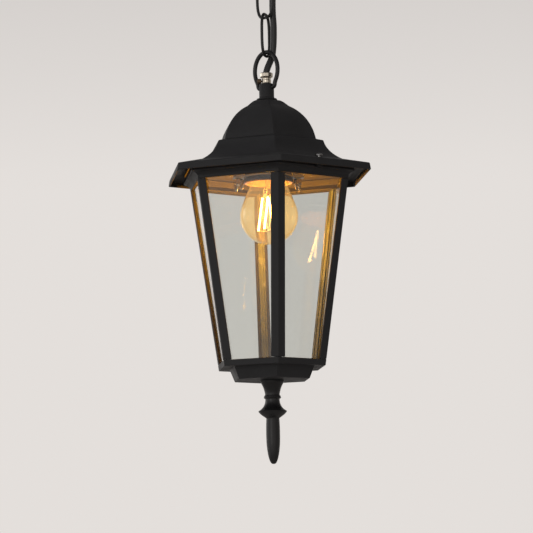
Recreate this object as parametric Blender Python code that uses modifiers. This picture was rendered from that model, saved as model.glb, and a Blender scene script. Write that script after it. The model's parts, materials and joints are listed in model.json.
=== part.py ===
"""A hexagonal hanging lantern on a short chain, with its ceiling rose.

Metres, +Z up. The origin is where the crossbar meets the ceiling, so everything hangs below
zero. The sizes below are in millimetres. A height is measured from the lower rim of the eave,
and a radius of a six-sided piece is the one of its corners. One corner points along -Y.
"""

import math

import bmesh
import bpy
from mathutils import Matrix, Vector

MM = 0.001
GAP = 0.3                  # clearance between pieces that touch
FLAT = math.cos(math.radians(30))   # a hexagon's flat over its corner radius

# Chain and ceiling
CEILING = 275.0            # height of the ceiling above the eave rim
CHAIN_TURN = -45.0         # heading of the bail, from +X
UPPER_LINK_TURN = -50.8    # the links hang a little twisted
LOWER_LINK_TURN = 63.4
LINK_WIRE = 1.55           # wire radius of a chain link
LINK_HALF_WIDTH = 11.15    # to the wire's centre
LINK_HALF_LENGTH = 22.15
BAIL_WIRE = 2.25
BAIL_HALF_WIDTH = 15.1
BAIL_HALF_HEIGHT = 19.45
BAIL_CENTRE = 114.0
BAIL_PIVOT = 95.5          # height of the cross holes in the hub
LOOP_WIRE = 2.25
LOOP_RADIUS = 12.0
CORD_RADIUS = 3.4
ROSE_RADIUS = 50.0
ROSE_BOTTOM = 240.0
ROSE_STUD = 22.0           # distance of the rose's two studs from the axis

# Roof, hub and cord grip
WALL = 1.8                 # thickness of the castings
EAVE_TOP = (113.7, 7.2)    # corner radius and height of the brim's edge
EAVE_RIM = (115.0, 0.0)
SCREW_REACH = 87.0         # distance of the roof screws from the axis
SCREW_FACES = (30.0, 210.0)
HUB_TOP = 99.5
HUB_RADIUS = 7.8
TUBE_RADIUS = 5.0
TUBE_BORE = 3.9
GRIP_RADIUS = 6.9
GRIP_NECK = 4.5
CROWN_TOP = 82.1

# Lampholder and bulb
STRAP_HALF = 26.0          # distance of the hanger strap's legs from the axis
STRAP_STUD = 30.5          # and of its two studs
PLATE_TOP = 1.5
HOLDER_RADIUS = 24.0
BULB_RADIUS = 30.0
BULB_CENTRE = -39.5
NECK_TOP = 10.7
FILAMENT_BOTTOM = -54.8
CAP_RADIUS = 13.2

# Cage
CAGE_TOP = -3.9            # where the straight corner line of the cage starts
CAGE_RADIUS = 90.0         # corner radius there
CAGE_TAPER = 0.1538        # loss of corner radius for each unit of height
WINDOW_TOP = -7.0
WINDOW_BOTTOM = -192.0
CAGE_BOTTOM = -198.3
FLANGE = 8.5               # width of a post on each face
GLASS = 1.8
TRAY_TOP_RADIUS = 47.5
TRAY_RADIUS = 42.1
TRAY_BOTTOM = -210.7
FINIAL_TOP = -211.0
FINIAL_TIP = -297.0


def metres(height):
    """World Z of a height above the eave rim."""
    return (height - CEILING) * MM


def heading(angle):
    """Unit vector at an angle from +X, in degrees."""
    return Vector((math.cos(math.radians(angle)), math.sin(math.radians(angle)), 0.0))


def face_out(angle):
    """Outward unit vector of the hexagon's side whose centre is this far round from -Y."""
    return heading(angle - 90.0)


ALONG = heading(CHAIN_TURN)           # the bail, the crossbar and the hub's cross holes
ACROSS = heading(CHAIN_TURN + 90.0)   # the ceiling loop


# ---------------------------------------------------------------- scene and materials

for old in list(bpy.data.objects):
    bpy.data.objects.remove(old)

PARTS = bpy.data.collections.new("hanging_lantern")
CUTTERS = bpy.data.collections.new("cutters")
bpy.context.scene.collection.children.link(PARTS)
bpy.context.scene.collection.children.link(CUTTERS)


def finish(name, colour, roughness, metallic=0.0, alpha=1.0, emission=0.0):
    """A Principled material."""
    made = bpy.data.materials.new(name)
    made.use_nodes = True
    shader = made.node_tree.nodes["Principled BSDF"]
    shader.inputs["Base Color"].default_value = (*colour, 1.0)
    shader.inputs["Roughness"].default_value = roughness
    shader.inputs["Metallic"].default_value = metallic
    shader.inputs["Alpha"].default_value = alpha
    shader.inputs["Emission Color"].default_value = (*colour, 1.0)
    shader.inputs["Emission Strength"].default_value = emission
    made.diffuse_color = (*colour, alpha)
    return made


BLACK = ("black_coat", (0.032, 0.033, 0.036), 0.45, 0.1)
CHAIN = ("black_chain", (0.022, 0.022, 0.023), 0.35, 0.3)
FLEX = ("black_flex", (0.018, 0.018, 0.019), 0.5)
NICKEL = ("nickel", (0.62, 0.57, 0.50), 0.25, 1.0)
ZINC = ("zinc", (0.60, 0.61, 0.62), 0.35, 1.0)
BRASS = ("brass", (0.72, 0.55, 0.27), 0.3, 1.0)
BAKELITE = ("bakelite", (0.030, 0.026, 0.022), 0.3)
BROWNED = ("browned_steel", (0.11, 0.075, 0.05), 0.4, 0.6)
PLASTIC = ("white_plastic", (0.75, 0.74, 0.70), 0.5)
GLASS_PANE = ("pane_glass", (0.90, 0.93, 0.92), 0.03, 0.0, 0.25)
BULB_GLASS = ("bulb_glass", (0.95, 0.82, 0.58), 0.02, 0.0, 0.25)
STEM_GLASS = ("stem_glass", (0.95, 0.90, 0.80), 0.05, 0.0, 0.4)
GLOW = ("filament", (1.0, 0.62, 0.22), 0.5, 0.0, 1.0, 8.0)
BROWN_WIRE = ("live_wire", (0.20, 0.07, 0.03), 0.5)
BLUE_WIRE = ("neutral_wire", (0.03, 0.10, 0.38), 0.5)


def keep(name, mesh, look):
    """A named part in the collection of parts, with its own material."""
    made = bpy.data.objects.new(name, mesh)
    PARTS.objects.link(made)
    coat = finish(f"{name}_{look[0]}", *look[1:])
    if not mesh.materials:
        mesh.materials.append(coat)
    slot = made.material_slots[0]
    slot.link = "OBJECT"
    slot.material = coat
    return made


# ---------------------------------------------------------------- ways of making a shape

def curve_points(start, pull, end, steps):
    """Points of a curve from start to end that leans towards pull."""
    found = []
    for i in range(steps + 1):
        t = i / steps
        found.append(tuple(
            a * (1 - t) ** 2 + 2 * b * t * (1 - t) + c * t ** 2
            for a, b, c in zip(start, pull, end)
        ))
    return found


def arc_points(centre, radii, first, last, steps):
    """Points of an ellipse's arc, as (radius, height), from one angle to another in degrees."""
    found = []
    for i in range(steps + 1):
        t = math.radians(first + (last - first) * i / steps)
        found.append((centre[0] + radii[0] * math.cos(t), centre[1] + radii[1] * math.sin(t)))
    return found


def inset(profile, depth):
    """The inner side of a six-sided shell whose outer side is this profile."""
    points = [Vector((r * FLAT, h)) for r, h in profile]
    shifted = []
    for a, b in zip(points, points[1:]):
        along = (b - a).normalized()
        inward = Vector((along.y, -along.x)) * depth
        shifted.append((a + inward, along))
    inner = [shifted[0][0]]
    for (p, d), (q, e) in zip(shifted, shifted[1:]):
        cross = d.x * e.y - d.y * e.x
        if abs(cross) < 1e-6:
            inner.append(q)
        else:
            step = ((q.x - p.x) * e.y - (q.y - p.y) * e.x) / cross
            inner.append(p + d * step)
    last, along = shifted[-1]
    inner.append(last + along * (points[-1] - points[-2]).length)
    return [(p.x / FLAT, p.y) for p in inner]


def turned(name, profile, look, sides=24, closed=False, turn=0.0, at=(0.0, 0.0)):
    """A turned solid. Its profile is (radius, height), running down the outer side."""
    bm = bmesh.new()
    verts = [bm.verts.new((r * MM, 0.0, metres(h))) for r, h in profile]
    pairs = list(zip(verts, verts[1:]))
    if closed:
        pairs.append((verts[-1], verts[0]))
    for a, b in pairs:
        bm.edges.new((a, b))
    mesh = bpy.data.meshes.new(name)
    bm.to_mesh(mesh)
    bm.free()
    made = keep(name, mesh, look)
    made.location = (at[0] * MM, at[1] * MM, 0.0)
    made.rotation_euler.z = math.radians(turn)
    screw = made.modifiers.new("turn", "SCREW")
    screw.steps = sides
    screw.render_steps = sides
    screw.use_merge_vertices = True
    screw.merge_threshold = 0.00001
    screw.use_smooth_shade = sides > 6
    return made


def six_sided(name, profile, look, closed=False):
    """A turned shape with six sides and a corner towards -Y."""
    return turned(name, profile, look, sides=6, closed=closed, turn=30.0)


def tube(outer, inner, low, high):
    """Closed profile of a plain ring."""
    return [(inner, high), (outer, high), (outer, low), (inner, low)]


def applied(made):
    """The object with its modifiers and curves turned into a plain mesh."""
    seen = made.evaluated_get(bpy.context.evaluated_depsgraph_get())
    mesh = bpy.data.meshes.new_from_object(seen)
    bm = bmesh.new()
    bm.from_mesh(mesh)
    bmesh.ops.remove_doubles(bm, verts=bm.verts, dist=0.00001)
    bmesh.ops.recalc_face_normals(bm, faces=bm.faces)
    bm.to_mesh(mesh)
    bm.free()
    return mesh


def wire(name, points, radius, look, loop=False, detail=2):
    """A round wire through points in millimetres, their height above the eave rim."""
    path = bpy.data.curves.new(name, "CURVE")
    path.dimensions = "3D"
    path.bevel_depth = radius * MM
    path.bevel_resolution = detail
    path.use_fill_caps = not loop
    spline = path.splines.new("POLY")
    spline.points.add(len(points) - 1)
    for knot, (x, y, h) in zip(spline.points, points):
        knot.co = (x * MM, y * MM, metres(h), 1.0)
    spline.use_cyclic_u = loop
    guide = bpy.data.objects.new(name + "_path", path)
    CUTTERS.objects.link(guide)
    bpy.context.view_layer.update()
    mesh = applied(guide)
    bpy.data.objects.remove(guide)
    mesh.name = name
    mesh.materials.clear()
    return keep(name, mesh, look)


def plate(name, outline, thickness, look, frame):
    """A flat outline in millimetres, thickened evenly and placed by a frame in metres."""
    path = bpy.data.curves.new(name, "CURVE")
    path.dimensions = "2D"
    path.fill_mode = "BOTH"
    path.extrude = thickness * MM / 2
    spline = path.splines.new("POLY")
    spline.points.add(len(outline) - 1)
    for knot, (x, y) in zip(spline.points, outline):
        knot.co = (x * MM, y * MM, 0.0, 1.0)
    spline.use_cyclic_u = True
    guide = bpy.data.objects.new(name + "_outline", path)
    CUTTERS.objects.link(guide)
    bpy.context.view_layer.update()
    mesh = applied(guide)
    bpy.data.objects.remove(guide)
    mesh.name = name
    mesh.materials.clear()
    made = keep(name, mesh, look)
    made.matrix_world = frame
    return made


def placed(middle, right, up):
    """The frame whose X is right and whose Y is up, with its middle in metres."""
    out = right.cross(up)
    return Matrix((
        (right.x, up.x, out.x, middle.x),
        (right.y, up.y, out.y, middle.y),
        (right.z, up.z, out.z, middle.z),
        (0.0, 0.0, 0.0, 1.0),
    ))


def hidden(name, mesh):
    """A cutter or a shape to be joined, kept out of the model itself."""
    made = bpy.data.objects.new(name, mesh)
    CUTTERS.objects.link(made)
    made.hide_render = True
    made.display_type = "WIRE"
    return made


def rod(name, start, end, radius, sides=16):
    """A hidden cylinder between two points in millimetres, their height above the rim."""
    a = Vector((start[0] * MM, start[1] * MM, metres(start[2])))
    b = Vector((end[0] * MM, end[1] * MM, metres(end[2])))
    bm = bmesh.new()
    bmesh.ops.create_cone(
        bm, cap_ends=True, segments=sides,
        radius1=radius * MM, radius2=radius * MM, depth=(b - a).length,
    )
    mesh = bpy.data.meshes.new(name)
    bm.to_mesh(mesh)
    bm.free()
    made = hidden(name, mesh)
    made.matrix_world = (
        Matrix.Translation((a + b) / 2) @ (b - a).to_track_quat("Z", "Y").to_matrix().to_4x4()
    )
    return made


def block(name, middle, size, turn=0.0):
    """A hidden box in millimetres, its middle's height above the rim."""
    bm = bmesh.new()
    bmesh.ops.create_cube(bm, size=1.0, matrix=Matrix.Diagonal((*(s * MM for s in size), 1.0)))
    mesh = bpy.data.meshes.new(name)
    bm.to_mesh(mesh)
    bm.free()
    made = hidden(name, mesh)
    made.location = (middle[0] * MM, middle[1] * MM, metres(middle[2]))
    made.rotation_euler.z = math.radians(turn)
    return made


def combine(made, other, how):
    """Cuts other out of made, or joins it on."""
    tool = made.modifiers.new(how.lower(), "BOOLEAN")
    tool.operation = how
    tool.object = other
    return made


def drill(made, start, end, radius, sides=16):
    """A round hole from one point to another."""
    return combine(made, rod(f"{made.name}_drill", start, end, radius, sides), "DIFFERENCE")


def join(made, other):
    return combine(made, other, "UNION")


def standing(point, low, high):
    """The ends of an upright line through a point on the plan."""
    return (point[0], point[1], low), (point[0], point[1], high)


# ---------------------------------------------------------------- ceiling fitting

LOOP_CENTRE = 222.45
LOOP_STEM = 5.0
ROSE_TOP = CEILING - GAP
CORD_GLAND = (14.6, 0.0)
BAR_THICKNESS = 2.0
BUSH_RADIUS = 5.0


def link_points(centre, direction, count=28):
    """The centre line of a chain link, longer than wide, with softly squared ends."""
    found = []
    power = 2.0 / 3.0
    for i in range(count):
        t = 2 * math.pi * i / count
        side = math.copysign(abs(math.cos(t)) ** power, math.cos(t)) * LINK_HALF_WIDTH
        rise = math.copysign(abs(math.sin(t)) ** power, math.sin(t)) * LINK_HALF_LENGTH
        found.append((direction.x * side, direction.y * side, centre + rise))
    return found


def ceiling_fitting():
    """Crossbar on the ceiling, and the rose that two studs hold up against it."""
    studs = [heading(CHAIN_TURN + turn) * ROSE_STUD for turn in (0.0, 180.0)]
    bar = plate(
        "ceiling_crossbar",
        [(-42, -9), (42, -9), (42, 9), (-42, 9)],
        BAR_THICKNESS,
        ZINC,
        placed(Vector((0, 0, -BAR_THICKNESS / 2 * MM)), ALONG, ACROSS),
    )
    for stud in studs:
        drill(bar, *standing(stud, CEILING - 5, CEILING + 5), 2.3)
    for side in (-1, 1):
        screw_slot = ALONG * (side * 34.0)
        hole = block(
            f"crossbar_slot_{side}", (screw_slot.x, screw_slot.y, CEILING), (12, 4.5, 8), CHAIN_TURN
        )
        combine(bar, hole, "DIFFERENCE")

    depth = ROSE_TOP - ROSE_BOTTOM
    outer = (
        [(LOOP_STEM + GAP, ROSE_TOP - depth), (16.0, ROSE_BOTTOM)]
        + curve_points((16.0, ROSE_BOTTOM), (44.0, ROSE_BOTTOM + 2), (48.5, ROSE_TOP - 6), 6)[1:]
        + [(ROSE_RADIUS, ROSE_TOP - 5), (ROSE_RADIUS, ROSE_TOP)]
    )
    inner = (
        [(ROSE_RADIUS - 1.3, ROSE_TOP), (ROSE_RADIUS - 1.3, ROSE_TOP - 4.2)]
        + curve_points((47.1, ROSE_TOP - 5.0), (43.0, ROSE_BOTTOM + 3.6), (16.0, ROSE_BOTTOM + 1.3), 6)
        + [(LOOP_STEM + GAP, ROSE_BOTTOM + 1.3)]
    )
    rose = turned("ceiling_rose", list(reversed(outer + inner)), BLACK, sides=36, closed=True)
    drill(rose, *standing(CORD_GLAND, ROSE_BOTTOM - 3, ROSE_BOTTOM + 6), BUSH_RADIUS + GAP)
    for stud in studs:
        drill(rose, *standing(stud, ROSE_BOTTOM, CEILING - 10), 2.3)

    top = ROSE_BOTTOM - GAP
    for number, stud in enumerate(studs, 1):
        place = (stud.x, stud.y)
        turned(
            f"rose_stud_{number}", [(0, CEILING - GAP), (2, CEILING - GAP), (2, top - 2), (0, top - 2)],
            ZINC, sides=12, at=place,
        )
        turned(
            f"rose_cap_nut_{number}",
            [(0, top - 2.4), (2.3, top - 2.4), (2.3, top), (4.6, top), (4.6, top - 1.2), (4.0, top - 1.6)]
            + arc_points((0, top - 4), (4.0, 4.0), 0, -90, 4),
            BLACK, sides=16, at=place,
        )


def ceiling_loop():
    """The eye that carries the chain, its lock nut, and the wiring inside the rose."""
    ring = [
        (ACROSS.x * LOOP_RADIUS * math.cos(t), ACROSS.y * LOOP_RADIUS * math.cos(t),
         LOOP_CENTRE + LOOP_RADIUS * math.sin(t))
        for t in (2 * math.pi * i / 24 for i in range(24))
    ]
    loop = wire("hanging_loop", ring, LOOP_WIRE, BLACK, loop=True)
    join(loop, rod("loop_stem", *standing((0, 0), LOOP_CENTRE + LOOP_RADIUS - 1, 256), LOOP_STEM))
    join(loop, rod("loop_collar", *standing((0, 0), 235.2, ROSE_BOTTOM - GAP), 7.0, 20))
    turned(
        "loop_lock_nut",
        tube(9.2, (LOOP_STEM + GAP) / FLAT, ROSE_BOTTOM + 1.6, ROSE_BOTTOM + 5.6),
        ZINC, sides=6, closed=True, turn=15.0,
    )
    bore = CORD_RADIUS + GAP + 0.1
    bush = [(bore, 246.5), (BUSH_RADIUS, 246.5), (BUSH_RADIUS, 239.7), (6.9, 239.7), (6.1, 237.6)]
    bush.append((bore, 237.6))
    turned("rose_cord_bush", bush, FLEX, sides=20, closed=True, at=CORD_GLAND)
    middle = ALONG * 4.0 + ACROSS * -24.0
    terminal = plate(
        "terminal_block", [(-11, -8), (11, -8), (11, 5), (9, 8), (-9, 8), (-11, 5)], 12.0, PLASTIC,
        placed(Vector((middle.x * MM, middle.y * MM, metres(258))), ALONG, Vector((0, 0, 1))),
    )
    for side in (-5.5, 5.5):
        spot = middle + ALONG * side
        drill(terminal, *standing(spot, 262, 272), 1.8, 12)
    spot = ACROSS * 6.0 + ALONG * 8.0
    turned(
        "earth_screw",
        [(0, 272.7), (3.4, 272.7), (3.4, 270.9), (2.6, 270.0), (0, 270.0)],
        BRASS, sides=12, at=(spot.x, spot.y),
    )


# ---------------------------------------------------------------- chain, bail and cord

LOWER_LINK = BAIL_CENTRE + BAIL_HALF_HEIGHT - (BAIL_WIRE + LINK_WIRE + GAP) + LINK_HALF_LENGTH
UPPER_LINK = LOWER_LINK + 2 * LINK_HALF_LENGTH - (2 * LINK_WIRE + GAP)


def bail_points():
    """Half of the bail's centre line, as (distance along the plane, height), from the hub up."""
    foot = [(5.7, BAIL_PIVOT), (8.0, BAIL_PIVOT), (9.7, 96.0), (10.8, 97.6), (11.2, 100.0)]
    bow = arc_points((0.0, BAIL_CENTRE), (BAIL_HALF_WIDTH, BAIL_HALF_HEIGHT), -35, 90, 11)
    return foot + bow


def chain():
    wire("chain_link_upper", link_points(UPPER_LINK, heading(UPPER_LINK_TURN)), LINK_WIRE, CHAIN, loop=True)
    wire("chain_link_lower", link_points(LOWER_LINK, heading(LOWER_LINK_TURN)), LINK_WIRE, CHAIN, loop=True)
    half = bail_points()
    whole = half + [(-s, h) for s, h in reversed(half[:-1])]
    wire("bail_ring", [(ALONG.x * s, ALONG.y * s, h) for s, h in whole], BAIL_WIRE, CHAIN)


def smooth_route(knots, spacing):
    """Points a fixed distance apart on a smooth curve through the knots."""
    points = [Vector(k) for k in knots]
    ends = [points[0] * 2 - points[1]] + points + [points[-1] * 2 - points[-2]]
    fine = []
    for a, b, c, d in zip(ends, ends[1:], ends[2:], ends[3:]):
        for i in range(12):
            t = i / 12
            fine.append(0.5 * (
                2 * b + (c - a) * t + (2 * a - 5 * b + 4 * c - d) * t ** 2
                + (3 * b - a - 3 * c + d) * t ** 3
            ))
    fine.append(points[-1])
    route, left = [fine[0]], spacing
    for a, b in zip(fine, fine[1:]):
        run = (b - a).length
        while run >= left:
            a = a + (b - a) * (left / run)
            route.append(a)
            run -= left
            left = spacing
        left -= run
    if (route[-1] - fine[-1]).length > spacing / 2:
        route.append(fine[-1])
    return [tuple(p) for p in route]


# The cord's route from inside the rose down beside the chain and into the grip.
CORD_ROUTE = (
    (14.6, 0.0, 262.0), (14.6, 0.0, 250.0), (14.6, 0.0, 238.0), (12.8, 0.0, 224.0),
    (9.9, 0.0, 208.0), (8.3, 0.0, 194.0), (7.9, 0.0, 182.0), (8.1, 0.0, 172.0), (8.6, 0.0, 163.0),
    (8.6, 0.2, 154.0), (8.4, 0.7, 146.0), (8.0, 1.3, 139.0), (7.4, 1.8, 133.5), (6.7, 1.8, 129.5),
    (5.0, 1.2, 124.8), (3.0, 0.6, 120.4), (1.3, 0.2, 116.2), (0.2, 0.0, 112.6), (0.0, 0.0, 109.0),
    (0.0, 0.0, 98.0), (0.0, 0.0, 88.0), (0.0, 0.0, 76.0), (0.0, 0.0, 64.0),
)


def cord():
    wire("flex_cord", smooth_route(CORD_ROUTE, 4.0), CORD_RADIUS, FLEX, detail=3)


# ---------------------------------------------------------------- roof, hub and grip

def brim_height(reach):
    """Height of the brim's outer surface at a distance from the axis to the side's middle."""
    edge, start = EAVE_TOP[0] * FLAT, 84.0 * FLAT
    return EAVE_TOP[1] + (edge - reach) / (edge - start) * (13.6 - EAVE_TOP[1])


def roof():
    """Dome, ledge, swept skirt, brim and fascia, cast in one shell open below."""
    crown = [(TUBE_RADIUS + 1.2, CROWN_TOP), (11.5, 81.8), (20.5, 77.9)]
    dome = arc_points((0.0, 27.9), (55.5, 52.0), 63, 10, 7)
    skirt = curve_points((62.9, 34.8), (66.5, 22.0), (84.0, 13.6), 5)
    outer = crown + dome + skirt + [EAVE_TOP, EAVE_RIM]
    inner = inset(outer, WALL)
    inner[-1] = (inner[-1][0], EAVE_RIM[1])
    made = six_sided("roof", outer + list(reversed(inner)), BLACK, closed=True)
    for angle in SCREW_FACES:
        spot = face_out(angle) * SCREW_REACH
        drill(made, *standing(spot, 2, 20), 1.9, 12)


def roof_screws():
    for number, angle in enumerate(SCREW_FACES, 1):
        spot = face_out(angle) * SCREW_REACH
        seat = brim_height(SCREW_REACH) + 1.1
        profile = [(0, seat + 2.4), (1.9, seat + 2.3), (3.2, seat + 1.6), (3.6, seat + 0.7), (3.6, seat)]
        profile += [(1.5, seat), (1.5, 0.2), (0, 0.2)]
        turned(f"roof_screw_{number}", profile, BLACK, sides=16, at=(spot.x, spot.y))


def hub_and_tube():
    """The hub that the bail grips, and the tube and nut that hold it on the roof."""
    foot = CROWN_TOP + GAP
    outer = [(HUB_RADIUS - 0.8, HUB_TOP), (HUB_RADIUS, HUB_TOP - 0.8), (HUB_RADIUS, 85.8)]
    outer += curve_points((HUB_RADIUS, 85.8), (8.0, 83.9), (10.6, 83.6), 3)[1:] + [(10.8, foot)]
    bore = [(TUBE_RADIUS + GAP, foot), (TUBE_RADIUS + GAP, 88.0), (GRIP_NECK + GAP, 88.0)]
    hub = turned("hub", outer + bore + [(GRIP_NECK + GAP, HUB_TOP)], BLACK, sides=24, closed=True)
    ends = [ALONG * side for side in (-10.0, 10.0)]
    drill(
        hub, (ends[0].x, ends[0].y, BAIL_PIVOT), (ends[1].x, ends[1].y, BAIL_PIVOT),
        BAIL_WIRE + GAP, 20,
    )
    turned("hub_tube", tube(TUBE_RADIUS, TUBE_BORE, 66.0, 87.6), ZINC, sides=20, closed=True)
    turned(
        "hub_lock_nut", tube(8.6, TUBE_RADIUS + 1.1, 72.7, 76.6), ZINC, sides=6, closed=True, turn=0.0
    )


def cord_grip():
    """A nickel grip with its neck in the hub, and the small screw that pinches the cord."""
    bore = CORD_RADIUS + GAP + 0.2
    profile = [
        (bore, 111.4), (GRIP_RADIUS - 0.9, 111.4), (GRIP_RADIUS, 110.6), (GRIP_RADIUS, 107.0),
        (GRIP_RADIUS - 0.8, 106.1), (4.9, 105.8), (4.9, 100.3), (GRIP_NECK, 99.9),
        (GRIP_NECK, 90.0), (bore, 90.0),
    ]
    grip = turned("cord_grip", profile, NICKEL, sides=16, closed=True)
    height = 102.6
    side = heading(176.0)
    drill(grip, (side.x * 3, side.y * 3, height), (side.x * 9, side.y * 9, height), 1.25, 10)
    screw = wire(
        "grip_screw", [(side.x * reach, side.y * reach, height) for reach in (4.2, 9.9)], 0.95, BROWNED
    )
    join(screw, rod(
        "grip_screw_head", (side.x * 5.3, side.y * 5.3, height), (side.x * 9.6, side.y * 9.6, height),
        2.7, 16,
    ))


# ---------------------------------------------------------------- lampholder and bulb

def hanger():
    """The strap inside the roof, the plate that carries the lampholder, and its two nuts."""
    path = [(-36.0, 2.6), (-STRAP_HALF, 2.6), (-STRAP_HALF, 58.0), (-21.0, 70.0), (-11.0, 78.0)]
    path += [(-x, h) for x, h in reversed(path)]
    half = 0.75
    upper, lower = [], []
    for i, (x, h) in enumerate(path):
        before = Vector(path[max(i - 1, 0)])
        after = Vector(path[min(i + 1, len(path) - 1)])
        here = Vector((x, h))
        runs = [(here - before), (after - here)]
        turns = [Vector((-r.y, r.x)).normalized() for r in runs if r.length > 0]
        mitre = sum(turns, Vector((0, 0))).normalized()
        offset = mitre * (half / mitre.dot(turns[0]))
        upper.append(here + offset)
        lower.append(here - offset)
    outline = [(p.x, p.y) for p in upper + list(reversed(lower))]
    strap = plate(
        "hanger_strap", outline, 12.0, ZINC,
        placed(Vector((0, 0, metres(0))), Vector((1, 0, 0)), Vector((0, 0, 1))),
    )
    drill(strap, *standing((0, 0), 74, 84), TUBE_RADIUS + GAP)

    plate_low = PLATE_TOP - 1.5
    holder_plate = turned(
        "holder_plate", tube(26.5, 21.2, plate_low, PLATE_TOP), ZINC, sides=32, closed=True
    )
    for side in (-1, 1):
        arm = block(
            f"plate_arm_{side}", (side * STRAP_STUD, 0, (PLATE_TOP + plate_low) / 2), (12, 12, 1.5)
        )
        join(holder_plate, arm)
        drill(holder_plate, *standing((side * STRAP_STUD, 0), -3, 5), 2.3, 12)
        drill(strap, *standing((side * STRAP_STUD, 0), -3, 5), 2.3, 12)
    for number, side in enumerate((-1, 1), 1):
        place = (side * STRAP_STUD, 0.0)
        turned(
            f"strap_stud_{number}",
            [(0, 5.4), (2.8, 5.4), (3.2, 4.7), (3.2, 3.7), (2.0, 3.7), (2.0, -8.0), (0, -8.0)],
            ZINC, sides=12, at=place,
        )
        nut = turned(
            f"wing_nut_{number}", tube(4.0, 2.3, -6.0, -0.3), NICKEL, sides=12, closed=True, at=place
        )
        lean = 65.0 * side
        for wing in (-1, 1):
            reach = heading(lean) * (wing * 6.0)
            blade = block(
                f"wing_{number}_{wing}", (place[0] + reach.x, reach.y, -8.0), (5.6, 1.5, 10.4), lean
            )
            join(nut, blade)


def lampholder():
    """Bakelite body through the plate, the ring that clamps it, its screw shell and contact."""
    outer = [(0, 42), (13, 42), (16.5, 40), (HOLDER_RADIUS - 1, 30), (HOLDER_RADIUS, 28)]
    outer += [(HOLDER_RADIUS, PLATE_TOP + GAP), (20.7, PLATE_TOP + GAP), (20.7, -5.2), (19.9, -5.2)]
    cavity = [(18.9, 1.0), (16.6, 6.0), (15.4, 11.0), (15.4, 38.0), (0, 38.0)]
    body = turned("lampholder_body", outer + cavity, BAKELITE, sides=28)
    for side in (-7.0, 7.0):
        drill(body, *standing((0, side), 36, 44), 1.6, 10)
    turned(
        "lampholder_ring", [(21.0, -0.3), (25.2, -0.3), (25.2, -4.6), (24.0, -5.6), (21.0, -5.6)],
        BLACK, sides=32, closed=True,
    )
    turned("screw_shell", tube(14.9, 14.3, 11.5, 34.0), BRASS, sides=24, closed=True)
    turned(
        "centre_contact", [(0, 37.7), (4.5, 37.7), (4.5, 37.0), (2.2, 36.6), (0, 36.6)], BRASS, sides=12
    )


def bulb_outline(radius, neck):
    """The bulb's outer side, from its neck down to its lowest point."""
    blend = 20.0
    joint = (radius * math.cos(math.radians(blend)), BULB_CENTRE + radius * math.sin(math.radians(blend)))
    cone = curve_points((neck, NECK_TOP), (neck + 1.6, NECK_TOP - 9.0), joint, 5)
    ball = arc_points((0.0, BULB_CENTRE), (radius, radius), blend, -90, 10)
    return cone[:-1] + ball[:-1] + [(0.0, BULB_CENTRE - radius)]


def bulb():
    """Globe, screw cap, contact, glass stem and the cage of glowing filaments."""
    outer = bulb_outline(BULB_RADIUS, 13.1)
    inner = bulb_outline(BULB_RADIUS - 0.8, 12.4)
    turned("bulb_glass", list(reversed(inner)) + outer, BULB_GLASS, sides=28)
    cap = [(0, 33.4), (4.6, 33.4), (CAP_RADIUS - 2, 31.5), (CAP_RADIUS, 28.5), (CAP_RADIUS, NECK_TOP + GAP)]
    cap += [(CAP_RADIUS - 0.6, NECK_TOP + GAP), (CAP_RADIUS - 0.6, 28.0), (0, 30.5)]
    turned("bulb_cap", cap, NICKEL, sides=24)
    turned(
        "bulb_contact", [(0, 36.2), (2.6, 36.0), (4.4, 34.6), (4.4, 33.7), (0, 33.7)], BRASS, sides=16
    )
    stem = [(0, 27.0), (9.0, 27.0), (9.6, 25.0), (5.0, 12.0), (2.6, -4.0), (2.2, -17.0), (0, -17.6)]
    turned("bulb_stem", stem, STEM_GLASS, sides=16)
    frame = turned(
        "bulb_filaments", [(0, -18.0), (1.5, -18.0), (1.5, -20.6), (0, -20.6)], GLOW, sides=10
    )
    high_ends = [heading(turn) * 6.2 for turn in (80.0, 170.0, 260.0, 350.0)]
    low_ends = [heading(turn) * 12.0 for turn in (60.0, 150.0, 240.0, 330.0)]
    for i, (high, low) in enumerate(zip(high_ends, low_ends)):
        join(frame, rod(f"support_{i}", (0, 0, -19.3), (high.x, high.y, -20.6), 0.5, 6))
        join(frame, rod(
            f"filament_{i}", (high.x, high.y, -20.0), (low.x, low.y, FILAMENT_BOTTOM), 1.05, 8
        ))
    for i in (0, 2):
        a, b = low_ends[i], low_ends[i + 1]
        low = FILAMENT_BOTTOM + 0.3
        join(frame, rod(f"tie_{i}", (a.x, a.y, low), (b.x, b.y, low), 0.4, 6))


def leads():
    """The two insulated wires from the cord's end to the lampholder."""
    for name, side, look in (("live_lead", -1, BROWN_WIRE), ("neutral_lead", 1, BLUE_WIRE)):
        knots = [(0, side * 1.3, 63.4), (0, side * 1.6, 58.0), (0, side * 5.0, 52.0), (0, side * 7.0, 46.0)]
        knots.append((0, side * 7.0, 39.0))
        wire(name, smooth_route(knots, 3.0), 1.0, look)


# ---------------------------------------------------------------- cage, glass and finial

def cage_corner(height):
    """Corner radius of the cage's outer surface at a height."""
    return CAGE_RADIUS - CAGE_TAPER * (CAGE_TOP - height)


def cage_top():
    """The moulded ring round the top of the cage, with the three bosses for the roof screws."""
    outer = [(97.6, 1.3), (96.9, 0.2), (CAGE_RADIUS, CAGE_TOP), (cage_corner(WINDOW_TOP), WINDOW_TOP)]
    inner = [(87.4, WINDOW_TOP), (87.9, -3.0), (94.2, 1.3)]
    ring = six_sided("cage_top_ring", outer + inner, BLACK, closed=True)
    for i, angle in enumerate(SCREW_FACES):
        spot = face_out(angle) * SCREW_REACH
        join(ring, rod(f"screw_boss_{i}", *standing(spot, -0.8, 6.2), 3.8, 16))
        drill(ring, *standing(spot, -6, 9), 1.8, 12)


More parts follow.
